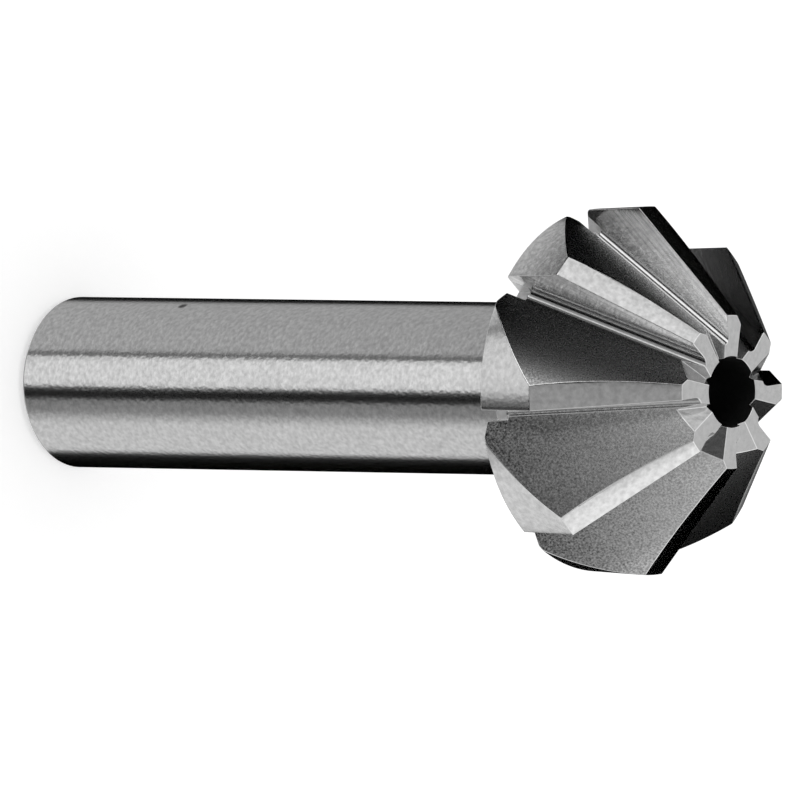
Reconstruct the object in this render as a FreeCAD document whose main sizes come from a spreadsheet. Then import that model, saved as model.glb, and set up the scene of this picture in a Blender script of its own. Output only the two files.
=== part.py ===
import FreeCAD, Part
import math
import os
import Sketcher

# A one-piece countersink bit, in millimetres, standing on the end of its shank.
# +Z runs along the tool axis towards the cutting nose; the origin is the middle of the shank end.
# The rake face of the first flute lies in the XZ plane, on the +X side.
NODE = "countersink_bit"

# how close two lengths, or two volumes, are taken as the same
CLOSE = 0.01

# name, value, what it is
SIZES = [
    ("shank_dia", 12.7, "plain cylindrical shank, 1/2 inch"),
    ("total_len", 64.5, "shank end to nose"),
    ("end_chamfer", 0.5, "bevel round the shank end"),
    ("head_dia", 27.0, "largest cutting diameter"),
    ("nose_dia", 11.2, "flat nose, the smallest cutting diameter"),
    ("cone_angle", 90.0, "included angle of the cutting cone"),
    ("margin_len", 5.0, "margin, the nearly cylindrical band behind the cone"),
    ("margin_taper", 0.4, "diameter that the band loses towards its back"),
    ("rear_chamfer", 0.15, "bevel on the rear edge of the head"),
    ("neck_radius", 1.5, "fillet between shank and head"),
    ("bore_dia", 5.2, "blind centre bore in the nose"),
    ("bore_depth", 9.0, "full-diameter depth of the centre bore"),
    ("bore_point", 118.0, "included angle of the drilled bottom"),
    ("flutes", 8, "teeth and flutes"),
    ("flute_slope", 34.0, "root line of a flute against the tool axis"),
    ("root_reach", 3.5, "distance of the root line from the axis at the nose"),
    ("root_floor", 0.3, "narrow flat floor beside the rake face"),
    ("land_width", 1.7, "land left along a cutting edge, at the largest diameter"),
    ("back_radius", 18.5, "bulge of the tooth back"),
    ("cut_clear", 0.11, "how far outside the head the tooth back's outline ends"),
    ("gash_slope", 24.0, "root line of a nose gash against the nose face"),
    ("gash_rim_depth", 0.45, "depth of a nose gash at the bore rim"),
    ("gash_offset", 0.8, "gash root line from the rake plane"),
    ("gash_front", 24.0, "steep side of a gash against the axis"),
    ("gash_back", 54.0, "shallow side of a gash against the axis"),
    ("notch_width", 0.9, "relief notch at the rear end of a flute"),
    ("notch_depth", 0.7, "depth of that notch below the root line, at the back of the head"),
    ("notch_len", 1.2, "length of that notch along the axis"),
]

# name, formula on the sheet; the last three take each cutting outline well past the blank
DERIVED = [
    ("rear_dia", "=head_dia - margin_taper"),
    ("cone_len", "=(head_dia - nose_dia) / 2 / tan(cone_angle / 2 * 1 deg)"),
    ("cone_start", "=total_len - cone_len"),
    ("head_back", "=total_len - cone_len - margin_len"),
    ("flute_apex", "=total_len + root_reach / tan(flute_slope * 1 deg)"),
    ("front_root", "=root_reach + cone_len * tan(flute_slope * 1 deg)"),
    ("rear_root", "=front_root + margin_len * tan(flute_slope * 1 deg)"),
    ("back_turn", "=360 / flutes - land_width / head_dia * 360 / pi"),
    ("back_reach", "=(head_dia / 2 + cut_clear) * sin(back_turn * 1 deg)"),
    ("land_height", "=(head_dia / 2 + cut_clear) * cos(back_turn * 1 deg) - front_root"),
    ("back_height", "=land_height * cos(flute_slope * 1 deg)"),
    ("notch_radius", "=rear_root - notch_depth"),
    ("gash_apex", "=total_len - gash_rim_depth + bore_dia / 2 * tan(gash_slope * 1 deg)"),
    ("cut_reach", "=head_dia / 2 + 1"),
    ("gash_height", "=nose_dia / 2"),
    ("notch_height", "=head_dia / 2"),
]


def make_sheet(doc):
    """The table of sizes that every feature below is bound to."""
    sheet = doc.addObject("Spreadsheet::Sheet", "Sizes")
    rows = [(name, str(value), note) for name, value, note in SIZES]
    rows += [(name, formula, "derived") for name, formula in DERIVED]
    for row, (name, value, note) in enumerate(rows, start=1):
        sheet.set(f"A{row}", name)
        sheet.set(f"B{row}", value)
        sheet.set(f"C{row}", note)
        sheet.setAlias(f"B{row}", name)
    doc.recompute()


def origin_feature(body, role):
    """One of the body's own origin planes or axes, found by its role."""
    return next(item for item in body.Origin.OriginFeatures if item.Role == role)


def new_sketch(body, name, plane, offset=None):
    """An empty sketch on one of the body's origin planes, moved along it or turned."""
    sketch = body.newObject("Sketcher::SketchObject", name)
    sketch.AttachmentSupport = [(origin_feature(body, plane), "")]
    sketch.MapMode = "FlatFace"
    if offset is not None:
        sketch.AttachmentOffset = offset
    return sketch


def vec(x, y, z=0):
    return FreeCAD.Vector(x, y, z)


def add_lines(sketch, corners, closed=True):
    """Straight lines through the corners, joined end to end; returns their numbers."""
    following = corners[1:] + corners[:1] if closed else corners[1:]
    lines = [
        sketch.addGeometry(Part.LineSegment(vec(*start), vec(*end)), False)
        for start, end in zip(corners, following)
    ]
    for line, after in zip(lines, lines[1:]):
        sketch.addConstraint(Sketcher.Constraint("Coincident", line, 2, after, 1))
    if closed:
        sketch.addConstraint(Sketcher.Constraint("Coincident", lines[-1], 2, lines[0], 1))
    return lines


def lay(sketch, kind, lines):
    """Horizontal or vertical rules for several lines."""
    for line in lines:
        sketch.addConstraint(Sketcher.Constraint(kind, line))


def bind(sketch, kind, refs, formula):
    """A driving dimension tied to the table of sizes."""
    value = float(sketch.evalExpression(formula))
    start = math.radians(value) if kind == "Angle" else value
    number = sketch.addConstraint(Sketcher.Constraint(kind, *refs, start))
    unit = "1 deg" if kind == "Angle" else "1 mm"
    sketch.setExpression(f"Constraints[{number}]", f"({formula}) * {unit}")


def size(name):
    """The value of a size, for drawing an outline near its final shape."""
    return FreeCAD.ActiveDocument.Sizes.get(name)


def add_blank(body):
    """Shank, head with margin and cone, and flat nose as one turned solid."""
    shank, head, nose = size("shank_dia") / 2, size("head_dia") / 2, size("nose_dia") / 2
    bevel, rear, tail = size("end_chamfer"), size("rear_chamfer"), size("rear_dia") / 2
    back, start, top = size("head_back"), size("cone_start"), size("total_len")
    sketch = new_sketch(body, "BlankOutline", "XZ_Plane")
    corners = [
        (0, 0), (shank - bevel, 0), (shank, bevel), (shank, back), (tail - rear, back),
        (tail, back + rear), (head, start), (nose, top), (0, top),
    ]
    lines = add_lines(sketch, corners)
    lay(sketch, "Horizontal", [lines[0], lines[3], lines[7]])
    lay(sketch, "Vertical", [lines[2], lines[8]])
    sketch.addConstraint(Sketcher.Constraint("Coincident", lines[0], 1, -1, 1))
    bind(sketch, "DistanceX", (lines[1], 1, lines[1], 2), "Sizes.end_chamfer")
    bind(sketch, "DistanceY", (lines[1], 1, lines[1], 2), "Sizes.end_chamfer")
    bind(sketch, "DistanceX", (-1, 1, lines[2], 1), "Sizes.shank_dia / 2")
    bind(sketch, "DistanceY", (-1, 1, lines[3], 1), "Sizes.head_back")
    bind(sketch, "DistanceX", (lines[4], 1, lines[4], 2), "Sizes.rear_chamfer")
    bind(sketch, "DistanceY", (lines[4], 1, lines[4], 2), "Sizes.rear_chamfer")
    bind(sketch, "DistanceX", (-1, 1, lines[5], 1), "Sizes.rear_dia / 2")
    bind(sketch, "DistanceX", (-1, 1, lines[6], 1), "Sizes.head_dia / 2")
    bind(sketch, "DistanceY", (-1, 1, lines[6], 1), "Sizes.cone_start")
    bind(sketch, "DistanceX", (-1, 1, lines[7], 1), "Sizes.nose_dia / 2")
    bind(sketch, "DistanceY", (-1, 1, lines[7], 1), "Sizes.total_len")
    blank = body.newObject("PartDesign::Revolution", "Blank")
    blank.Profile = sketch
    blank.ReferenceAxis = (sketch, ["V_Axis"])
    blank.Angle = 360
    body.Document.recompute()
    return blank


def add_neck(body, blank):
    """The fillet in the corner where the shank meets the back of the head."""
    def is_neck(edge):
        round_edge = isinstance(edge.Curve, Part.Circle)
        level = abs(edge.CenterOfMass.z - size("head_back")) < CLOSE
        return round_edge and level and abs(edge.Curve.Radius - size("shank_dia") / 2) < CLOSE

    names = [f"Edge{n}" for n, edge in enumerate(blank.Shape.Edges, start=1) if is_neck(edge)]
    neck = body.newObject("PartDesign::Fillet", "Neck")
    neck.Base = (blank, names)
    neck.setExpression("Radius", "Sizes.neck_radius * 1 mm")
    body.Document.recompute()
    return neck


def add_bore(body):
    """The blind bore drilled into the middle of the nose."""
    sketch = new_sketch(body, "BoreCentre", "XY_Plane")
    sketch.setExpression("AttachmentOffset.Base.z", "Sizes.total_len * 1 mm")
    circle = sketch.addGeometry(Part.Circle(vec(0, 0), vec(0, 0, 1), size("bore_dia") / 2), False)
    sketch.addConstraint(Sketcher.Constraint("Coincident", circle, 3, -1, 1))
    bind(sketch, "Diameter", (circle,), "Sizes.bore_dia")
    bore = body.newObject("PartDesign::Hole", "CentreBore")
    bore.Profile = sketch
    body.Document.recompute()
    bore.ThreadType = "None"
    bore.DepthType = "Dimension"
    bore.DrillPoint = "Angled"
    bore.setExpression("Diameter", "Sizes.bore_dia * 1 mm")
    bore.setExpression("Depth", "Sizes.bore_depth * 1 mm")
    bore.setExpression("DrillPointAngle", "Sizes.bore_point * 1 deg")
    body.Document.recompute()
    return bore


def bulge(start, end, radius):
    """The middle point of an arc of this radius between two points, to the right of the way."""
    chord = end - start
    rise = radius - math.sqrt(radius**2 - chord.Length**2 / 4)
    side = vec(-chord.y, chord.x).normalize()
    return (start + end) / 2 + side * rise


def add_flute(body):
    """One flute: flat rake face, narrow floor and bulged tooth back, cut along its root line."""
    tilt = FreeCAD.Placement(vec(0, 0, size("flute_apex")), FreeCAD.Rotation(vec(0, -1, 0), 1))
    sketch = new_sketch(body, "FluteOutline", "XY_Plane", tilt)
    sketch.setExpression("AttachmentOffset.Base.z", "Sizes.flute_apex * 1 mm")
    sketch.setExpression("AttachmentOffset.Rotation.Angle", "Sizes.flute_slope * 1 deg")
    floor, far = size("root_floor"), size("cut_reach")
    rise, reach = size("back_height"), size("back_reach")
    corners = [(0, floor), (0, 0), (far, 0), (far, far), (rise, far), (rise, reach)]
    lines = add_lines(sketch, corners, False)
    start, end = vec(rise, reach), vec(0, floor)
    back = sketch.addGeometry(Part.Arc(start, bulge(start, end, size("back_radius")), end), False)
    first, last = (1, 2) if sketch.getPoint(back, 1).x > sketch.getPoint(back, 2).x else (2, 1)
    sketch.addConstraint(Sketcher.Constraint("Coincident", back, first, lines[4], 2))
    sketch.addConstraint(Sketcher.Constraint("Coincident", back, last, lines[0], 1))
    sketch.addConstraint(Sketcher.Constraint("Coincident", lines[1], 1, -1, 1))
    lay(sketch, "Vertical", [lines[0], lines[2], lines[4]])
    lay(sketch, "Horizontal", [lines[1], lines[3]])
    bind(sketch, "DistanceY", (-1, 1, lines[0], 1), "Sizes.root_floor")
    bind(sketch, "DistanceX", (-1, 1, lines[1], 2), "Sizes.cut_reach")
    bind(sketch, "DistanceY", (-1, 1, lines[2], 2), "Sizes.cut_reach")
    bind(sketch, "DistanceX", (-1, 1, lines[4], 2), "Sizes.back_height")
    bind(sketch, "DistanceY", (-1, 1, lines[4], 2), "Sizes.back_reach")
    bind(sketch, "Radius", (back,), "Sizes.back_radius")
    return add_pocket(body, "Flute", sketch)


def add_gash(body):
    """One V-shaped gash across the nose, from the bore rim out into the flute."""
    tilt = FreeCAD.Placement(vec(0, size("gash_apex"), 0), FreeCAD.Rotation(vec(1, 0, 0), 1))
    sketch = new_sketch(body, "GashOutline", "YZ_Plane", tilt)
    sketch.setExpression("AttachmentOffset.Base.y", "Sizes.gash_apex * 1 mm")
    sketch.setExpression("AttachmentOffset.Rotation.Angle", "Sizes.gash_slope * 1 deg")
    root, high = size("gash_offset"), size("gash_height")
    left = root - high * math.tan(math.radians(size("gash_front")))
    right = root + high * math.tan(math.radians(size("gash_back")))
    lines = add_lines(sketch, [(root, 0), (right, high), (left, high)])
    lay(sketch, "Horizontal", [lines[1]])
    sketch.addConstraint(Sketcher.Constraint("PointOnObject", lines[0], 1, -1))
    bind(sketch, "DistanceX", (-1, 1, lines[0], 1), "Sizes.gash_offset")
    bind(sketch, "DistanceY", (-1, 1, lines[0], 2), "Sizes.gash_height")
    bind(sketch, "Angle", (-1, 1, lines[0], 1), "90 - Sizes.gash_back")
    bind(sketch, "Angle", (lines[0], 1, lines[2], 2), "Sizes.gash_back + Sizes.gash_front")
    return add_pocket(body, "Gash", sketch, reverse=True)


def add_notch(body):
    """The small relief notch where the flute runs out through the back of the head."""
    sketch = new_sketch(body, "NotchOutline", "XY_Plane")
    sketch.setExpression("AttachmentOffset.Base.z", "Sizes.head_back * 1 mm")
    floor, wide, high = size("notch_radius"), size("notch_width"), size("notch_height")
    lines = add_lines(sketch, [(floor, 0), (floor + high, 0), (floor + high, wide), (floor, wide)])
    lay(sketch, "Horizontal", [lines[0], lines[2]])
    lay(sketch, "Vertical", [lines[1], lines[3]])
    sketch.addConstraint(Sketcher.Constraint("PointOnObject", lines[0], 1, -1))
    bind(sketch, "DistanceX", (-1, 1, lines[0], 1), "Sizes.notch_radius")
    bind(sketch, "DistanceX", (lines[0], 1, lines[0], 2), "Sizes.notch_height")
    bind(sketch, "DistanceY", (lines[1], 1, lines[1], 2), "Sizes.notch_width")
    return add_pocket(body, "Notch", sketch, reverse=True, length="Sizes.notch_len * 1 mm")


def add_pocket(body, name, sketch, reverse=False, length=None):
    """Cuts the outline out of the solid, all the way or to a length, and checks that it cut."""
    body.Document.recompute()
    before = body.Tip.Shape.Volume
    pocket = body.newObject("PartDesign::Pocket", name)
    pocket.Profile = sketch
    pocket.Type = "Length" if length else "ThroughAll"
    if length:
        pocket.setExpression("Length", length)
    pocket.Reversed = reverse
    body.Document.recompute()
    if pocket.Shape.Volume > before - CLOSE:
        raise ValueError(f"{name} cuts nothing")
    return pocket


def add_teeth(body, cuts):
    """Repeats the cuts of one flute round the axis."""
    teeth = body.newObject("PartDesign::PolarPattern", "Teeth")
    teeth.Originals = cuts
    teeth.Axis = (origin_feature(body, "Z_Axis"), [""])
    teeth.Angle = 360
    teeth.setExpression("Occurrences", "Sizes.flutes")
    body.Tip = teeth
    body.Document.recompute()
    return teeth


def check(doc):
    """Stops before writing when a feature failed or the solid isn't sound."""
    for item in doc.Objects:
        if "Invalid" in item.State or "Error" in item.State:
            raise ValueError(f"{item.Label}: {item.State}")
    shape = doc.getObject(NODE).Shape
    if shape.isNull() or not shape.isValid() or len(shape.Solids) != 1:
        raise ValueError(f"{NODE} is not one sound solid")


def main():
    doc = FreeCAD.newDocument("CountersinkBit")
    make_sheet(doc)
    body = doc.addObject("PartDesign::Body", NODE)
    body.Label = NODE
    body.Placement = FreeCAD.Placement()
    add_neck(body, add_blank(body))
    add_bore(body)
    add_teeth(body, [add_flute(body), add_gash(body), add_notch(body)])
    check(doc)
    os.makedirs("parts", exist_ok=True)
    body.Shape.exportStep(f"parts/{NODE}.step")
    print(NODE, "volume", round(body.Shape.Volume, 1), "faces", len(body.Shape.Faces))


main()
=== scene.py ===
import logging
import math
from dataclasses import dataclass
from enum import Enum
from typing import Callable

import bmesh
import bpy
import numpy as np
from mathutils import Matrix, Vector


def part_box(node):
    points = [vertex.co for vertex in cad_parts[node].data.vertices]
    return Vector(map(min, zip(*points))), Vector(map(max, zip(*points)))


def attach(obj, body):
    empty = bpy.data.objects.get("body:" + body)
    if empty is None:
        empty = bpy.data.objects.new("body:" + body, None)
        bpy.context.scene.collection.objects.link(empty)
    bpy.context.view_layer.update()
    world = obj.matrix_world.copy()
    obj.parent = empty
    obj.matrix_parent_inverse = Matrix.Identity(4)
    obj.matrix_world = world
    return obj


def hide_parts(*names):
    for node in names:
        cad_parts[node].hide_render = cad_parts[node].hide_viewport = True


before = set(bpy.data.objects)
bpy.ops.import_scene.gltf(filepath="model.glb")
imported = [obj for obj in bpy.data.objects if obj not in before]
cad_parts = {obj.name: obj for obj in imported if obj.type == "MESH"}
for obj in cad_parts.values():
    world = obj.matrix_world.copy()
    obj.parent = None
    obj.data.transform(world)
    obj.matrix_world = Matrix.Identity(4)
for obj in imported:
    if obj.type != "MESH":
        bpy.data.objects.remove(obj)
log = logging.getLogger("countersink_bit")

NODE = "countersink_bit"
BODY = "root"
METRES = 0.001
HALF_TURN = 180.0

Point = tuple[float, float]
Span = tuple[float, float]
Place = tuple[float, float, float]
Socket = bpy.types.NodeSocket
Sockets = bpy.types.bpy_prop_collection
Materials = list[bpy.types.Material]


class Zone(Enum):
    """The differently finished areas of the tool, in the order of its material slots."""

    SHANK = 0
    SHANK_END = 1
    MARGIN = 2
    HEAD_BACK = 3
    LAND = 4
    NOSE = 5
    BORE = 6
    RAKE = 7
    ROOT = 8
    TOOTH_BACK = 9
    GASH_FRONT = 10
    GASH_BACK = 11
    NOTCH = 12
    EDGE = 13


def socket(tree: bpy.types.NodeTree, name: str, kind: str, output: bool = False) -> None:
    """Adds a named input or output of a kind such as Float to a node group."""
    way = "OUTPUT" if output else "INPUT"
    tree.interface.new_socket(name, in_out=way, socket_type=f"NodeSocket{kind}")


@dataclass
class Wiring:
    """Adds nodes and links to one node tree."""

    tree: bpy.types.NodeTree

    def node(self, kind: str, **settings: object) -> bpy.types.Node:
        """Adds a node and sets its properties.

        Args:
            kind: the node's type name.
            settings: properties of the node.

        Returns:
            The new node.
        """
        node = self.tree.nodes.new(kind)
        for name, value in settings.items():
            setattr(node, name, value)
        return node

    def put(self, target: Socket, value: object) -> None:
        """Links a socket to an input, or sets the input to a plain value.

        Args:
            target: the input.
            value: a socket or a plain value.
        """
        if isinstance(value, Socket):
            self.tree.links.new(value, target)
        else:
            target.default_value = value

    def math(self, operation: str, *values: object, clamp: bool = False) -> Socket:
        """Adds a Math node.

        Args:
            operation: the node's operation.
            values: sockets or numbers for its inputs.
            clamp: whether the result is kept between 0 and 1.

        Returns:
            The node's result.
        """
        node = self.node("ShaderNodeMath", operation=operation, use_clamp=clamp)
        for target, value in zip(node.inputs, values):
            self.put(target, value)
        return node.outputs[0]

    def mix(self, factor: Socket, first: object, second: object) -> Socket:
        """Adds a Mix node for plain values.

        Args:
            factor: 0 gives the first value, 1 the second.
            first: a socket or number.
            second: a socket or number.

        Returns:
            The mixed value.
        """
        node = self.node("ShaderNodeMix", data_type="FLOAT")
        self.put(node.inputs["Factor"], factor)
        self.put(node.inputs[2], first)
        self.put(node.inputs[3], second)
        return node.outputs[0]

    def blend(self, factor: Socket, first: Socket, second: Socket) -> Socket:
        """Adds a Mix Shader node.

        Args:
            factor: 0 gives the first shader, 1 the second.
            first: a shader.
            second: a shader.

        Returns:
            The mixed shader.
        """
        node = self.node("ShaderNodeMixShader")
        for target, value in zip(node.inputs, (factor, first, second)):
            self.put(target, value)
        return node.outputs[0]

    def noise(self, at: Socket, scale: Socket, detail: float) -> Socket:
        """Adds a Noise Texture node.

        Args:
            at: where the noise is read.
            scale: how fine it is.
            detail: how many finer layers it has.

        Returns:
            The noise, centred on 0.
        """
        node = self.node("ShaderNodeTexNoise")
        self.put(node.inputs["Vector"], at)
        self.put(node.inputs["Scale"], scale)
        node.inputs["Detail"].default_value = detail
        return self.math("SUBTRACT", node.outputs[0], 0.5)

    def split(self, vector: Socket) -> list[Socket]:
        """Adds a Separate XYZ node.

        Args:
            vector: the vector to take apart.

        Returns:
            Its three parts.
        """
        node = self.node("ShaderNodeSeparateXYZ")
        self.put(node.inputs[0], vector)
        return list(node.outputs)

    def radius(self, x: Socket, y: Socket) -> Socket:
        """Distance of a place from the Z axis."""
        squares = [self.math("POWER", part, 2.0) for part in (x, y)]
        return self.math("POWER", self.math("ADD", *squares), 0.5)

    def azimuth(self, x: Socket, y: Socket, front: float) -> Socket:
        """Direction round the Z axis in degrees, to the right of a front given in radians."""
        turn = self.math("ARCTAN2", x, self.math("MULTIPLY", y, -1.0))
        return self.math("SUBTRACT", self.math("DEGREES", turn), math.degrees(front))


@dataclass
class ToolSizes:
    """The sizes of the tool in millimetres; its length and head come from the frame."""

    length: float
    head_radius: float
    shank_radius: float = 6.35
    end_chamfer: float = 0.5
    neck_radius: float = 1.5
    nose_radius: float = 5.6
    margin_length: float = 5.0
    margin_taper: float = 0.2
    rear_chamfer: float = 0.15
    bore_radius: float = 2.6
    bore_depth: float = 9.0
    bore_point: float = math.radians(118)
    teeth: int = 8
    flute_slope: float = math.radians(34)
    root_reach: float = 3.5
    root_floor: float = 0.3
    root_fillet: float = 0.5
    land_width: float = 1.7
    back_radius: float = 18.5
    cut_clear: float = 0.11
    gash_slope: float = math.radians(24)
    gash_rim_depth: float = 0.45
    gash_offset: float = 0.8
    gash_front: float = math.radians(24)
    gash_back: float = math.radians(54)
    notch_width: float = 0.9
    notch_depth: float = 0.7
    notch_length: float = 1.2

    @classmethod
    def from_frame(cls) -> "ToolSizes":
        """Reads the overall sizes from the box of the CAD node."""
        _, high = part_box(NODE)
        return cls(length=high.z / METRES, head_radius=high.x / METRES)

    @property
    def cone_length(self) -> float:
        """Length of the cutting cone, whose flanks stand at 45 degrees."""
        return self.head_radius - self.nose_radius

    @property
    def cone_start(self) -> float:
        """Height of the front circle, where the cone begins."""
        return self.length - self.cone_length

    @property
    def head_back(self) -> float:
        """Height of the back of the head."""
        return self.cone_start - self.margin_length

    @property
    def pitch(self) -> float:
        """Angle from one tooth to the next."""
        return math.tau / self.teeth

    @property
    def flute_apex(self) -> float:
        """Height at which a flute's root line meets the axis."""
        return self.length + self.root_reach / math.tan(self.flute_slope)

    @property
    def gash_apex(self) -> float:
        """Height at which a gash's root line meets the axis."""
        return self.length - self.gash_rim_depth + self.bore_radius * math.tan(self.gash_slope)

    def root_at(self, height: float) -> float:
        """Radius of a flute's root line at a height along the axis."""
        return (self.flute_apex - height) * math.tan(self.flute_slope)


@dataclass
class Blank:
    """The turned blank: shank, head and nose with the bore, made as one lathed mesh."""

    sizes: ToolSizes
    segments: int = 144
    neck_steps: int = 12

    def outline(self) -> list[tuple[Point, Zone]]:
        """The half section from the shank end to the bottom of the bore.

        Returns:
            Points as radius and height, each with the zone of the face that follows it.
        """
        s = self.sizes
        rear = s.head_radius - s.margin_taper
        neck = [
            (
                s.shank_radius + s.neck_radius * (1 - math.cos(turn)),
                s.head_back - s.neck_radius * (1 - math.sin(turn)),
            )
            for turn in np.linspace(0, math.pi / 2, self.neck_steps + 1)
        ]
        point_height = s.bore_radius / math.tan(s.bore_point / 2)
        return [
            ((0, 0), Zone.SHANK_END),
            ((s.shank_radius - s.end_chamfer, 0), Zone.SHANK_END),
            ((s.shank_radius, s.end_chamfer), Zone.SHANK),
            *[(point, Zone.HEAD_BACK) for point in neck],
            ((rear - s.rear_chamfer, s.head_back), Zone.HEAD_BACK),
            ((rear, s.head_back + s.rear_chamfer), Zone.MARGIN),
            ((s.head_radius, s.cone_start), Zone.LAND),
            ((s.nose_radius, s.length), Zone.NOSE),
            ((s.bore_radius, s.length), Zone.BORE),
            ((s.bore_radius, s.length - s.bore_depth), Zone.BORE),
            ((0, s.length - s.bore_depth - point_height), Zone.BORE),
        ]

    def build(self, materials: Materials) -> bpy.types.Object:
        """Lathes the outline into a closed mesh.

        Args:
            materials: one material for each zone.

        Returns:
            The blank, in millimetres.
        """
        outline = self.outline()
        mesh = bmesh.new()
        half_step = 0.5
        turns = [math.tau * (k + half_step) / self.segments for k in range(self.segments)]
        rings = []
        for (radius, height), _ in outline:
            if radius == 0:
                rings.append([mesh.verts.new((0, 0, height))])
            else:
                ring = [(radius * math.cos(t), radius * math.sin(t), height) for t in turns]
                rings.append([mesh.verts.new(place) for place in ring])
        for (_, zone), low, high in zip(outline, rings, rings[1:]):
            for k in range(self.segments):
                after = (k + 1) % self.segments
                corners = [
                    low[k % len(low)],
                    low[after % len(low)],
                    high[after % len(high)],
                    high[k % len(high)],
                ]
                face = mesh.faces.new(list(dict.fromkeys(corners)))
                face.material_index = zone.value
        return to_object("blank", mesh, materials)


def to_object(name: str, mesh: bmesh.types.BMesh, materials: Materials) -> bpy.types.Object:
    """Turns a finished bmesh into a linked object with outward faces.

    Args:
        name: the object's name.
        mesh: the geometry, which is freed.
        materials: one material for each zone.

    Returns:
        The new object.
    """
    bmesh.ops.recalc_face_normals(mesh, faces=mesh.faces[:])
    data = bpy.data.meshes.new(name)
    mesh.to_mesh(data)
    mesh.free()
    for material in materials:
        data.materials.append(material)
    thing = bpy.data.objects.new(name, data)
    bpy.context.scene.collection.objects.link(thing)
    return thing


@dataclass
class ToothCutters:
    """The three cuts that shape one tooth space: the flute, the nose gash and the rear notch."""

    sizes: ToolSizes
    back_steps: int = 24
    root_steps: int = 10
    root_blend: float = 1.2
    far: float = 15.0
    reach: float = 40.0

    def prism(
        self,
        mesh: bmesh.types.BMesh,
        corners: list[tuple[Point, Zone]],
        place: Callable[[float, float], Vector],
        way: Vector,
    ) -> None:
        """Adds a closed prism to the cutter mesh.

        Args:
            mesh: the mesh to add to.
            corners: the section, each corner with the zone that the side after it leaves.
            place: gives the start point of a section corner.
            way: the whole length of the cut as a vector.
        """
        near = [mesh.verts.new(place(*corner)) for corner, _ in corners]
        far = [mesh.verts.new(place(*corner) + way) for corner, _ in corners]
        for k, (_, zone) in enumerate(corners):
            after = (k + 1) % len(corners)
            face = mesh.faces.new((near[k], near[after], far[after], far[k]))
            face.material_index = zone.value
        for cap in (near, far):
            mesh.faces.new(cap).material_index = Zone.NOTCH.value

    def back_arc(self) -> list[Point]:
        """The bulged tooth back, as an arc from the flute's root to the edge of the next land.

        Returns:
            Points of the flute's section, from the root outwards.
        """
        s = self.sizes
        turn = s.pitch - s.land_width / s.head_radius
        rim = s.head_radius + s.cut_clear
        rise = (rim * math.cos(turn) - s.root_at(s.cone_start)) * math.cos(s.flute_slope)
        foot, top = Vector((0, s.root_floor)), Vector((rise, rim * math.sin(turn)))
        half = (top - foot).length / 2
        across = Vector((foot.y - top.y, top.x - foot.x)).normalized()
        centre = (foot + top) / 2 + across * math.sqrt(s.back_radius**2 - half**2)
        first, last = (math.atan2(end.y - centre.y, end.x - centre.x) for end in (foot, top))
        return [
            (centre.x + s.back_radius * math.cos(turn), centre.y + s.back_radius * math.sin(turn))
            for turn in np.linspace(first, last, self.back_steps + 1)
        ]

    def root_arc(self) -> list[Point]:
        """The fillet between the rake face and the tooth back.

        Returns:
            Points of the flute's section, from the rake face onwards.
        """
        radius = self.sizes.root_fillet
        return [
            (radius * (1 - math.sin(turn)), radius * (1 - math.cos(turn)))
            for turn in np.linspace(0, math.pi / 2, self.root_steps + 1)
        ]

    def flute_section(self) -> list[tuple[Point, Zone]]:
        """The flute's section across its root line.

        Returns:
            Heights above the line and distances from the rake face, each with the zone of its side.
        """
        root, back = self.root_arc(), self.back_arc()
        clear = self.root_blend * self.sizes.root_fillet
        rise, _ = back[-1]
        return [
            ((self.far, 0.0), Zone.RAKE),
            *[(point, Zone.ROOT) for point in root[:-1]],
            (root[-1], Zone.TOOTH_BACK),
            *[(point, Zone.TOOTH_BACK) for point in back if point[1] > clear],
            ((rise, self.far), Zone.TOOTH_BACK),
            ((self.far, self.far), Zone.TOOTH_BACK),
        ]

    def gash_section(self) -> list[tuple[Point, Zone]]:
        """The gash's section across its root line.

        Returns:
            Distances from the rake plane and heights, each with the zone of its side.
        """
        s = self.sizes
        high = s.nose_radius
        return [
            ((s.gash_offset, 0.0), Zone.GASH_BACK),
            ((s.gash_offset + high * math.tan(s.gash_back), high), Zone.NOTCH),
            ((s.gash_offset - high * math.tan(s.gash_front), high), Zone.GASH_FRONT),
        ]

    def build(self, materials: Materials) -> bpy.types.Object:
        """Makes the cutters of the first tooth space.

        Args:
            materials: one material for each zone.

        Returns:
            The cutters as one mesh object, in millimetres.
        """
        mesh = bmesh.new()
        self.flute(mesh)
        self.gash(mesh)
        self.notch(mesh)
        return to_object("tooth_cutters", mesh, materials)

    def flute(self, mesh: bmesh.types.BMesh) -> None:
        """Adds the flute's cutter, along its sloping root line.

        Args:
            mesh: the cutter mesh.
        """
        slope = self.sizes.flute_slope
        up = Vector((math.cos(slope), 0, math.sin(slope)))
        down = Vector((math.sin(slope), 0, -math.cos(slope)))
        side = Vector((0, 1, 0))
        apex = Vector((0, 0, self.sizes.flute_apex))
        section = self.flute_section()
        self.prism(mesh, section, lambda u, v: apex + up * u + side * v, down * self.reach)

    def gash(self, mesh: bmesh.types.BMesh) -> None:
        """Adds the nose gash's cutter, from the axis outwards.

        Args:
            mesh: the cutter mesh.
        """
        tilt = self.sizes.gash_slope
        up = Vector((math.sin(tilt), 0, math.cos(tilt)))
        out = Vector((math.cos(tilt), 0, -math.sin(tilt)))
        side = Vector((0, 1, 0))
        apex = Vector((0, 0, self.sizes.gash_apex))
        section = self.gash_section()
        self.prism(mesh, section, lambda v, h: apex + side * v + up * h, out * self.reach)

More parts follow.
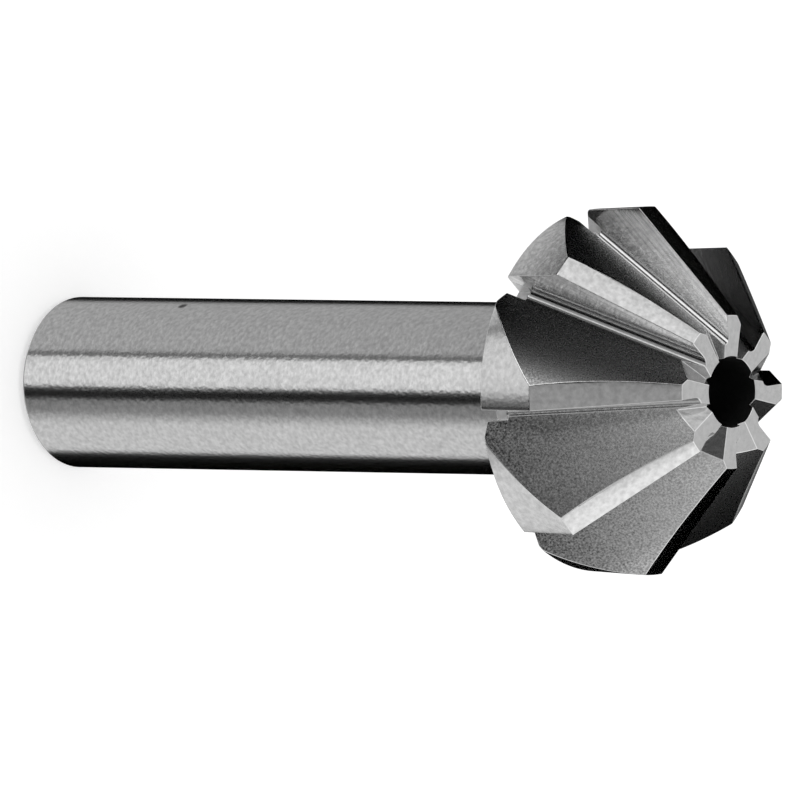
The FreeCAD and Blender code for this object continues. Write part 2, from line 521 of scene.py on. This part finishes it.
    def notch(self, mesh: bmesh.types.BMesh) -> None:
        """Adds the cutter of the relief notch at the flute's rear end.

        Args:
            mesh: the cutter mesh.
        """
        s = self.sizes
        near = s.root_at(s.head_back) - s.notch_depth
        far = near + self.far
        corners = [(near, 0.0), (far, 0.0), (far, s.notch_width), (near, s.notch_width)]
        foot = s.head_back - s.notch_length
        lift = Vector((0, 0, 2 * s.notch_length))
        section = [(corner, Zone.NOTCH) for corner in corners]
        self.prism(mesh, section, lambda x, y: Vector((x, y, foot)), lift)


@dataclass
class ToothPattern:
    """Geometry nodes that repeat the cutters round the axis and take them out of the blank."""

    teeth: int
    pitch: float

    def tree(self, last_material: bpy.types.Material) -> bpy.types.NodeTree:
        """Builds the node tree.

        Args:
            last_material: a finish for the closing Set Material node, which selects no face here,
                because each face already has the finish of its zone.

        Returns:
            The tree, with the inputs Cutters, Teeth and Pitch.
        """
        tree = bpy.data.node_groups.new("teeth round the axis", "GeometryNodeTree")
        tree.is_modifier = True
        socket(tree, "Geometry", "Geometry")
        socket(tree, "Cutters", "Object")
        socket(tree, "Teeth", "Int")
        socket(tree, "Pitch", "Float")
        socket(tree, "Geometry", "Geometry", output=True)
        wiring = Wiring(tree)
        given = wiring.node("NodeGroupInput").outputs
        cutters = wiring.node("GeometryNodeObjectInfo", transform_space="ORIGINAL")
        wiring.put(cutters.inputs["Object"], given["Cutters"])
        cut = wiring.node("GeometryNodeMeshBoolean", operation="DIFFERENCE", solver="EXACT")
        cut.inputs["Self Intersection"].default_value = True
        wiring.put(cut.inputs["Mesh 1"], given["Geometry"])
        wiring.put(cut.inputs["Mesh 2"], self.ring(wiring, given, cutters.outputs["Geometry"]))
        whole = wiring.node("GeometryNodeRealizeInstances")
        wiring.put(whole.inputs[0], cut.outputs[0])
        dress = wiring.node("GeometryNodeSetMaterial")
        dress.inputs["Selection"].default_value = False
        dress.inputs["Material"].default_value = last_material
        wiring.put(dress.inputs["Geometry"], whole.outputs[0])
        wiring.put(wiring.node("NodeGroupOutput").inputs[0], dress.outputs[0])
        return tree

    def ring(self, wiring: Wiring, given: Sockets, cutters: Socket) -> Socket:
        """Repeats the cutters round the axis.

        Args:
            wiring: the tree to add to.
            given: the tree's inputs.
            cutters: the cutters of the first tooth space.

        Returns:
            The cutters of every tooth space.
        """
        points = wiring.node("GeometryNodePoints")
        wiring.put(points.inputs["Count"], given["Teeth"])
        index = wiring.node("GeometryNodeInputIndex").outputs[0]
        turn = wiring.node("ShaderNodeCombineXYZ")
        wiring.put(turn.inputs["Z"], wiring.math("MULTIPLY", index, given["Pitch"]))
        copies = wiring.node("GeometryNodeInstanceOnPoints")
        wiring.put(copies.inputs["Points"], points.outputs[0])
        wiring.put(copies.inputs["Instance"], cutters)
        wiring.put(copies.inputs["Rotation"], turn.outputs[0])
        realize = wiring.node("GeometryNodeRealizeInstances")
        wiring.put(realize.inputs[0], copies.outputs[0])
        return realize.outputs[0]

    def apply(self, blank: bpy.types.Object, cutters: bpy.types.Object) -> bpy.types.Mesh:
        """Runs the tree on the blank.

        Args:
            blank: the turned blank.
            cutters: the cutters of one tooth space.

        Returns:
            The toothed mesh, in millimetres.
        """
        tree = self.tree(blank.data.materials[0])
        modifier = blank.modifiers.new("teeth", "NODES")
        modifier.node_group = tree
        items = tree.interface.items_tree
        names = {item.name: item.identifier for item in items if item.in_out == "INPUT"}
        modifier[names["Cutters"]] = cutters
        modifier[names["Teeth"]] = self.teeth
        modifier[names["Pitch"]] = self.pitch
        mesh = evaluated_mesh(blank)
        blank.modifiers.remove(modifier)
        return mesh


def evaluated_mesh(thing: bpy.types.Object) -> bpy.types.Mesh:
    """Applies an object's modifiers.

    Args:
        thing: the object, which stays as it is.

    Returns:
        The resulting plain mesh.
    """
    bpy.context.view_layer.update()
    graph = bpy.context.evaluated_depsgraph_get()
    return bpy.data.meshes.new_from_object(thing.evaluated_get(graph))


@dataclass(frozen=True)
class EdgeBreak:
    """The tiny rounding that grinding and stoning leave on every edge, and the final scale."""

    width: float = 0.05
    steps: int = 2
    least_angle: float = math.radians(25)
    flat_angle: float = math.radians(0.2)
    weld: float = 0.04

    def apply(self, cut: bpy.types.Mesh, name: str) -> bpy.types.Object:
        """Cleans the cut mesh, rounds its edges and scales it to metres.

        Args:
            cut: the toothed mesh, in millimetres.
            name: the name of the finished piece.

        Returns:
            The finished piece.
        """
        mesh = bmesh.new()
        mesh.from_mesh(cut)
        bmesh.ops.dissolve_limit(
            mesh,
            angle_limit=self.flat_angle,
            verts=mesh.verts,
            edges=mesh.edges,
            delimit={"MATERIAL"},
        )
        bmesh.ops.remove_doubles(mesh, verts=mesh.verts, dist=self.weld)
        for face in mesh.faces:
            face.smooth = True
        piece = to_object(name, mesh, list(cut.materials))
        bevel = piece.modifiers.new("edge break", "BEVEL")
        bevel.width = self.width
        bevel.segments = self.steps
        bevel.limit_method = "ANGLE"
        bevel.angle_limit = self.least_angle
        bevel.use_clamp_overlap = False
        bevel.material = Zone.EDGE.value
        piece.modifiers.new("flat faces", "WEIGHTED_NORMAL").mode = "FACE_AREA_WITH_ANGLE"
        piece.data = evaluated_mesh(piece)
        piece.modifiers.clear()
        piece.data.transform(Matrix.Scale(METRES, 4))
        return piece


class Grain(Enum):
    """How a surface was worked, which sets the way its fine lines run."""

    ROUND = "round the axis"
    ALONG = "along the cutting edges"
    SPECKLED = "speckled"


@dataclass(frozen=True)
class SteelMarks:
    """The shared node group of grinding lines, mottle, painted light fade and dark spot.

    The painted light fade colours the steel lighter towards the nose, and its heights are in
    metres.
    The dark spot radius is in millimetres. The shine is the share of a tint that also makes the
    steel smoother.
    """

    name: str = "steel marks"
    painted_light_heights: Span = (0.052, 0.0645)
    dark_spot_radius: float = 0.45
    line_detail: float = 2.0
    mottle_detail: float = 1.0
    shine: float = 0.3

    def tree(self) -> bpy.types.NodeTree:
        """Builds the group the first time, and gives the same one after that.

        Returns:
            The group, with the outputs Color, Roughness and Height, which is in millimetres.
        """
        if self.name in bpy.data.node_groups:
            return bpy.data.node_groups[self.name]
        tree = bpy.data.node_groups.new(self.name, "ShaderNodeTree")
        for item in ("Position", "Nick"):
            socket(tree, item, "Vector")
        for item in (
            "Line size", "Line stretch", "Line depth", "Line tint", "Along edge",
            "Mottle size", "Mottle depth", "Mottle tint", "Fade", "Shade", "Roughness",
        ):
            socket(tree, item, "Float")
        socket(tree, "Color", "Color", output=True)
        socket(tree, "Roughness", "Float", output=True)
        socket(tree, "Height", "Float", output=True)
        wiring = Wiring(tree)
        given = wiring.node("NodeGroupInput").outputs
        line, spot = self.lines(wiring, given), self.mottle(wiring, given)
        line_tint = wiring.math("MULTIPLY", line, given["Line tint"])
        tint = wiring.math("ADD", line_tint, wiring.math("MULTIPLY", spot, given["Mottle tint"]))
        # painted light: the fade makes the colour lighter towards the nose
        change = wiring.math("ADD", wiring.math("ADD", tint, self.fade(wiring, given)), 1.0)
        # the colour goes to black in a small spot on the shank; the shape has no dent there
        change = wiring.math("MULTIPLY", change, self.outside_dark_spot(wiring, given))
        blunt = wiring.math("SUBTRACT", 1.0, wiring.math("MULTIPLY", tint, self.shine))
        line_height = wiring.math("MULTIPLY", line, given["Line depth"])
        spot_height = wiring.math("MULTIPLY", spot, given["Mottle depth"])
        result = wiring.node("NodeGroupOutput")
        wiring.put(result.inputs["Color"], wiring.math("MULTIPLY", given["Shade"], change))
        wiring.put(result.inputs["Roughness"], wiring.math("MULTIPLY", given["Roughness"], blunt))
        wiring.put(result.inputs["Height"], wiring.math("ADD", line_height, spot_height))
        return tree

    def lines(self, wiring: Wiring, given: Sockets) -> Socket:
        """The grinding lines, as noise drawn out round the axis or along the cutting edges.

        Args:
            wiring: the group's tree.
            given: the group's inputs.

        Returns:
            The lines, centred on 0.
        """
        x, y, z = wiring.split(given["Position"])
        slant = wiring.math("ADD", wiring.radius(x, y), z)
        across = wiring.mix(given["Along edge"], z, slant)
        drawn = wiring.math("MULTIPLY", across, given["Line stretch"])
        place = wiring.node("ShaderNodeCombineXYZ")
        for target, value in zip(place.inputs, (x, y, drawn)):
            wiring.put(target, value)
        coarse = wiring.math("MULTIPLY", given["Line size"], given["Line stretch"])
        return wiring.noise(place.outputs[0], wiring.math("DIVIDE", 1.0, coarse), self.line_detail)

    def mottle(self, wiring: Wiring, given: Sockets) -> Socket:
        """The grain between the lines, as noise centred on 0."""
        scale = wiring.math("DIVIDE", 1.0, given["Mottle size"])
        return wiring.noise(given["Position"], scale, self.mottle_detail)

    def fade(self, wiring: Wiring, given: Sockets) -> Socket:
        """Painted light: the slow change of shade from the head's back to the nose, lighter at the
        nose.

        Args:
            wiring: the group's tree.
            given: the group's inputs.

        Returns:
            The change, 0 halfway up.
        """
        low, high = self.painted_light_heights
        _, _, z = wiring.split(given["Position"])
        rise = wiring.math("DIVIDE", wiring.math("SUBTRACT", z, (low + high) / 2), high - low)
        return wiring.math("MULTIPLY", rise, given["Fade"])

    def outside_dark_spot(self, wiring: Wiring, given: Sockets) -> Socket:
        """A mask that is 0 in the middle of the dark spot and 1 beyond it.

        Args:
            wiring: the group's tree.
            given: the group's inputs.

        Returns:
            The mask.
        """
        away = wiring.node("ShaderNodeVectorMath", operation="DISTANCE")
        wiring.put(away.inputs[0], given["Position"])
        wiring.put(away.inputs[1], given["Nick"])
        near = wiring.math("DIVIDE", away.outputs["Value"], self.dark_spot_radius * METRES)
        return wiring.math("SUBTRACT", wiring.math("MULTIPLY", near, 2.0), 1.0, clamp=True)


@dataclass(frozen=True)
class SteelFinish:
    """The finish of one zone of bare tool steel, with its lengths in millimetres.

    The lines are the grinding marks and the mottle is the grain between them. A tint is how much
    either changes the shade. The painted light fade is painted light: how much lighter the colour
    grows from the head's back to the nose. The dark spot is the place of a small spot of dark
    colour.
    """

    zone: Zone
    shade: float
    roughness: float
    grain: Grain
    line_size: float = 0.06
    line_stretch: float = 12.0
    line_depth: float = 0.0006
    line_tint: float = 0.06
    mottle_size: float = 0.4
    mottle_depth: float = 0.012
    mottle_tint: float = 0.25
    # painted light: how much lighter the colour grows towards the nose
    fade: float = 0.0
    nick: Place = (0.0, 0.0, -1.0)

    def material(self) -> bpy.types.Material:
        """Builds the procedural material.

        Returns:
            The material, named after its zone.
        """
        material = bpy.data.materials.new(self.zone.name.lower())
        material.use_nodes = True
        wiring = Wiring(material.node_tree)
        shader = material.node_tree.nodes["Principled BSDF"]
        shader.inputs["Metallic"].default_value = 1.0
        marks = wiring.node("ShaderNodeGroup", node_tree=SteelMarks().tree())
        values = {
            "Position": wiring.node("ShaderNodeTexCoord").outputs["Object"],
            "Line size": self.line_size * METRES,
            "Line stretch": 1.0 if self.grain is Grain.SPECKLED else self.line_stretch,
            "Along edge": 1.0 if self.grain is Grain.ALONG else 0.0,
            "Line depth": self.line_depth,
            "Line tint": self.line_tint,
            "Mottle size": self.mottle_size * METRES,
            "Mottle depth": self.mottle_depth,
            "Mottle tint": self.mottle_tint,
            "Fade": self.fade,
            "Nick": [value * METRES for value in self.nick],
            "Shade": self.shade,
            "Roughness": self.roughness,
        }
        for name, value in values.items():
            wiring.put(marks.inputs[name], value)
        wiring.put(shader.inputs["Base Color"], marks.outputs["Color"])
        wiring.put(shader.inputs["Roughness"], marks.outputs["Roughness"])
        bump = wiring.node("ShaderNodeBump")
        bump.inputs["Distance"].default_value = METRES
        wiring.put(bump.inputs["Height"], marks.outputs["Height"])
        wiring.put(shader.inputs["Normal"], bump.outputs[0])
        return material


FINISHES = [
    SteelFinish(
        Zone.SHANK, 0.65, 0.16, Grain.ROUND,
        mottle_size=0.36, mottle_depth=0.008, mottle_tint=0.65, nick=(-6.04, -1.97, 12.97),
    ),
    SteelFinish(Zone.SHANK_END, 0.62, 0.30, Grain.ROUND),
    SteelFinish(Zone.MARGIN, 0.74, 0.20, Grain.ROUND, mottle_depth=0.006, mottle_tint=0.6),
    SteelFinish(Zone.HEAD_BACK, 0.60, 0.30, Grain.ROUND),
    SteelFinish(Zone.LAND, 0.70, 0.16, Grain.ROUND, mottle_depth=0.005, mottle_tint=0.6),
    SteelFinish(Zone.NOSE, 0.66, 0.20, Grain.ROUND),
    # Painted shade: the bore's near-black colour stands in for the shade deep in the hole.
    SteelFinish(Zone.BORE, 0.12, 0.45, Grain.ROUND),
    SteelFinish(
        Zone.RAKE, 0.76, 0.16, Grain.ALONG,
        line_size=0.28, line_stretch=14.0, line_tint=1.2, mottle_depth=0.004,
    ),
    # Painted shade: the root fillet is coloured darker than the rake to tone down its bright
    # reflection.
    SteelFinish(Zone.ROOT, 0.55, 0.20, Grain.ALONG, mottle_depth=0.003),
    # Painted light: the tooth backs' fade makes their colour lighter towards the nose.
    SteelFinish(
        Zone.TOOTH_BACK, 0.42, 0.28, Grain.SPECKLED,
        mottle_size=0.15, mottle_depth=0.001, mottle_tint=1.8, fade=1.1,
    ),
    SteelFinish(Zone.GASH_FRONT, 0.60, 0.25, Grain.ALONG),
    SteelFinish(Zone.GASH_BACK, 0.66, 0.22, Grain.ALONG),
    # Partly painted light: the notch faces' near-white colour makes these small facets show bright.
    SteelFinish(Zone.NOTCH, 0.92, 0.50, Grain.ROUND),
    SteelFinish(Zone.EDGE, 0.80, 0.16, Grain.ROUND),
]


@dataclass
class Tool:
    """The countersink bit as one dressed piece that stands for the CAD node."""

    sizes: ToolSizes

    def build(self) -> bpy.types.Object:
        """Turns, cuts and finishes the tool.

        Returns:
            The dressed piece, riding on the one body.
        """
        materials = [finish.material() for finish in FINISHES]
        blank = Blank(self.sizes).build(materials)
        cutters = ToothCutters(self.sizes).build(materials)
        cut = ToothPattern(self.sizes.teeth, self.sizes.pitch).apply(blank, cutters)
        for scrap in (blank, cutters):
            bpy.data.objects.remove(scrap)
        piece = EdgeBreak().apply(cut, "ground_tool")
        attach(piece, BODY)
        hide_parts(NODE)
        return piece


@dataclass(frozen=True)
class Viewpoint:
    """Where the photograph was taken from, relative to the tool."""

    azimuth: float = math.radians(-7.0)
    elevation: float = math.radians(41.38)
    roll: float = math.radians(0.903)
    distance: float = 2.0
    view_width: float = 0.0590
    aim_height: float = 0.03221
    aim_side: float = 0.000966
    sensor_width: float = 36.0
    clip_end: float = 20.0

    def turned(self, vector: Place) -> Vector:
        """Turns a vector from the camera's azimuth frame into the tool's frame."""
        return Matrix.Rotation(self.azimuth, 3, "Z") @ Vector(vector)

    def build(self) -> None:
        """Creates the camera, on its side so that the tool lies level in the picture."""
        sine, cosine = math.sin(self.elevation), math.cos(self.elevation)
        back = self.turned((0, -cosine, sine))
        level = self.turned((0, sine, cosine))
        rise = self.turned((-1, 0, 0))
        right = level * math.cos(self.roll) + rise * math.sin(self.roll)
        up = rise * math.cos(self.roll) - level * math.sin(self.roll)
        aim = self.turned((self.aim_side, 0, self.aim_height))
        data = bpy.data.cameras.new("camera")
        data.sensor_width = self.sensor_width
        data.lens = self.sensor_width * self.distance / self.view_width
        data.clip_end = self.clip_end
        camera = bpy.data.objects.new("camera", data)
        bpy.context.scene.collection.objects.link(camera)
        turn = Matrix((right, up, back)).transposed().to_4x4()
        camera.matrix_world = Matrix.Translation(aim + back * self.distance) @ turn
        bpy.context.scene.camera = camera


@dataclass(frozen=True)
class Flag:
    """A card or softbox of the surrounding studio, as the bare metal reflects it, in degrees."""

    name: str
    azimuths: Span
    heights: Span
    shade: float
    softness: float = 3.0

    def lay(self, wiring: Wiring, below: object, azimuth: Socket, height: Socket) -> Socket:
        """Lays the card over the surround.

        Args:
            wiring: the world's node tree.
            below: the brightness under the card.
            azimuth: degrees round the Z axis.
            height: degrees above the horizon.

        Returns:
            The brightness with the card in place.
        """
        (left, right), (bottom, top) = self.azimuths, self.heights
        off = wiring.math("SUBTRACT", azimuth, (left + right) / 2)
        across = wiring.math("ABSOLUTE", wiring.math("WRAP", off, HALF_TURN, -HALF_TURN))
        along = wiring.math("ABSOLUTE", wiring.math("SUBTRACT", height, (bottom + top) / 2))
        inside = self.cover(wiring, across, right - left), self.cover(wiring, along, top - bottom)
        return wiring.mix(wiring.math("MULTIPLY", *inside), below, self.shade)

    def cover(self, wiring: Wiring, distance: Socket, extent: float) -> Socket:
        """Gives 1 up to half the extent from the card's middle and 0 beyond, softly."""
        inside = wiring.math("SUBTRACT", extent / 2, distance)
        return wiring.math("ADD", wiring.math("DIVIDE", inside, self.softness), 0.5, clamp=True)


FLAGS = [
    Flag("dim room round the camera", (-60, 50), (33, 80), 0.38, 12.0),
    Flag("dark gap over the camera", (-60, -8), (37, 66), 0.03, 6.0),
    Flag("dim room below the camera", (-36, 14), (2, 34), 0.40, 8.0),
    Flag("dark gap below the camera", (-38, 10), (-34, 6), 0.02, 4.0),
    Flag("dark gap in front", (4, 46), (-22, 26), 0.00, 6.0),
    Flag("softbox low on the left", (-68, -39), (-8, 26), 1.80, 8.0),
    Flag("softbox on the right", (58, 118), (6, 60), 1.10, 10.0),
    Flag("shaded side of the right softbox", (46, 82), (2, 58), 0.60, 8.0),
    Flag("softbox behind", (140, 220), (33, 80), 0.64, 8.0),
    Flag("light card below the right side", (22, 104), (-91, -8), 0.76, 6.0),
    Flag("shaded edge of the right card", (6, 48), (-91, -24), 0.28, 18.0),
    Flag("grey card below the left side", (-141, -40), (-91, -29), 0.41, 4.0),
    Flag("light card below the front", (-35, 9), (-75, -34), 1.05, 3.0),
    Flag("pale floor close by", (-160, 12), (-91, -43.2), 0.72, 1.6),
    Flag("thin dark strip on the left", (-42, -35), (-75, -27), 0.05, 2.0),
    Flag("dark strip in front", (6, 23), (-75, -22), 0.00, 3.0),
    Flag("dark floor behind", (108, 219), (-75, 6), 0.00, 9.0),
    Flag("dark wall behind on the right", (112, 170), (-10, 24), 0.00, 8.0),
    Flag("dark wall on the far left", (-170, -100), (-28, 18), 0.00, 6.0),
    Flag("dark wall on the left", (-118, -70), (-30, 28), 0.00, 6.0),
    Flag("light strip behind", (168, 187), (-30, -5), 0.75, 4.0),
]


@dataclass
class Studio:
    """The pale floor, the soft lamps and the surround that the metal reflects."""

    azimuth: float
    floor_radius: float = 1.5
    floor_gap: float = 0.0001
    floor_segments: int = 64
    floor_shade: float = 0.90
    floor_roughness: float = 0.9
    ambient: float = 0.60
    surround: float = 0.95
    card_reach: Span = (0.066, 0.3)
    card_turn: Span = (-150.0, -40.0)
    backdrop: float = 0.42
    lamp_power: float = 3.0
    lamp_size: float = 0.8
    lamp_height: float = 1.2

    def build(self) -> None:
        """Creates the whole studio."""
        self.floor()
        self.lamp()
        self.world().cycles.sampling_method = "NONE"

    def floor(self) -> None:
        """A plain pale disc just under the tool, clear when it is seen from below."""
        mesh = bmesh.new()
        bmesh.ops.create_circle(
            mesh,
            cap_ends=True,
            segments=self.floor_segments,
            radius=self.floor_radius,
            matrix=Matrix.Translation((0, 0, -self.floor_gap)),
        )
        data = bpy.data.meshes.new("floor")
        mesh.to_mesh(data)
        mesh.free()
        data.materials.append(self.floor_material())
        floor = bpy.data.objects.new("floor", data)
        bpy.context.scene.collection.objects.link(floor)

    def floor_material(self) -> bpy.types.Material:
        """The floor's finish: pale to the camera, and clear to the metal but for a dark card.

        Returns:
            The material.
        """
        material = bpy.data.materials.new("floor")
        material.use_nodes = True
        wiring = Wiring(material.node_tree)
        shader = material.node_tree.nodes["Principled BSDF"]
        shader.inputs["Base Color"].default_value = (self.floor_shade,) * 3 + (1.0,)
        shader.inputs["Roughness"].default_value = self.floor_roughness
        shader.inputs["Specular IOR Level"].default_value = 0.0
        shader.inputs["Emission Color"].default_value = (1, 1, 1, 1)
        rays = wiring.node("ShaderNodeLightPath").outputs
        glow = wiring.math("MULTIPLY", rays["Is Camera Ray"], self.backdrop)
        wiring.put(shader.inputs["Emission Strength"], glow)
        clear = wiring.node("ShaderNodeBsdfTransparent").outputs[0]
        below = wiring.node("ShaderNodeNewGeometry").outputs["Backfacing"]
        seen = wiring.blend(below, shader.outputs[0], clear)
        black = wiring.node("ShaderNodeBsdfDiffuse")
        black.inputs["Color"].default_value = (0, 0, 0, 1)
        card = wiring.blend(self.floor_card(wiring), clear, black.outputs[0])
        surface = wiring.blend(rays["Is Glossy Ray"], seen, card)
        wiring.put(material.node_tree.nodes["Material Output"].inputs["Surface"], surface)
        return material

    def floor_card(self, wiring: Wiring) -> Socket:
        """The place of a dark card that lies on the floor outside the picture, for reflections.

        Args:
            wiring: the floor's node tree.

        Returns:
            A mask that is 1 on the card.
        """
        x, y, _ = wiring.split(wiring.node("ShaderNodeTexCoord").outputs["Object"])
        distance, azimuth = wiring.radius(x, y), wiring.azimuth(x, y, self.azimuth)
        near, far = self.card_reach
        left, right = self.card_turn
        beyond = wiring.math("GREATER_THAN", distance, near)
        within = wiring.math("LESS_THAN", distance, far)
        aside = wiring.math("ABSOLUTE", wiring.math("SUBTRACT", azimuth, (left + right) / 2))
        facing = wiring.math("LESS_THAN", aside, (right - left) / 2)
        return wiring.math("MULTIPLY", wiring.math("MULTIPLY", beyond, within), facing)

    def lamp(self) -> None:
        """One large soft lamp overhead."""
        data = bpy.data.lights.new("overhead", "AREA")
        data.energy = self.lamp_power
        data.size = self.lamp_size
        lamp = bpy.data.objects.new("overhead", data)
        lamp.location = (0, 0, self.lamp_height)
        lamp.visible_glossy = False
        bpy.context.scene.collection.objects.link(lamp)

    def world(self) -> bpy.types.World:
        """A white surround with grey and dark cards for reflections, and even ambient light.

        Returns:
            The world, already in use.
        """
        world = bpy.data.worlds.new("studio")
        bpy.context.scene.world = world
        world.use_nodes = True
        world.node_tree.nodes.clear()
        wiring = Wiring(world.node_tree)
        x, y, z = wiring.split(wiring.node("ShaderNodeTexCoord").outputs["Generated"])
        azimuth = wiring.azimuth(x, y, self.azimuth)
        height = wiring.math("DEGREES", wiring.math("ARCSINE", z))
        shade: object = self.surround
        for flag in FLAGS:
            shade = flag.lay(wiring, shade, azimuth, height)
        rays = wiring.node("ShaderNodeLightPath").outputs
        mirrored = wiring.math("MAXIMUM", rays["Is Glossy Ray"], rays["Is Transmission Ray"])
        seen = wiring.math("MAXIMUM", mirrored, rays["Is Camera Ray"])
        strength = wiring.mix(seen, self.ambient, wiring.mix(mirrored, 1.0, shade))
        background = wiring.node("ShaderNodeBackground")
        background.inputs["Color"].default_value = (1, 1, 1, 1)
        wiring.put(background.inputs["Strength"], strength)
        result = wiring.node("ShaderNodeOutputWorld")
        wiring.put(result.inputs["Surface"], background.outputs[0])
        return world


def main() -> None:
    """Builds the tool, the studio and the camera."""
    logging.basicConfig(level=logging.INFO, format="%(name)s: %(message)s")
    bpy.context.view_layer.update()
    piece = Tool(ToolSizes.from_frame()).build()
    log.info("%s: %d faces", piece.name, len(piece.data.polygons))
    view = Viewpoint()
    Studio(view.azimuth).build()
    log.info("studio: a floor, a lamp and %d cards", len(FLAGS))
    view.build()
    bpy.context.scene.view_settings.view_transform = "Standard"


if __name__ == "__main__":
    main()
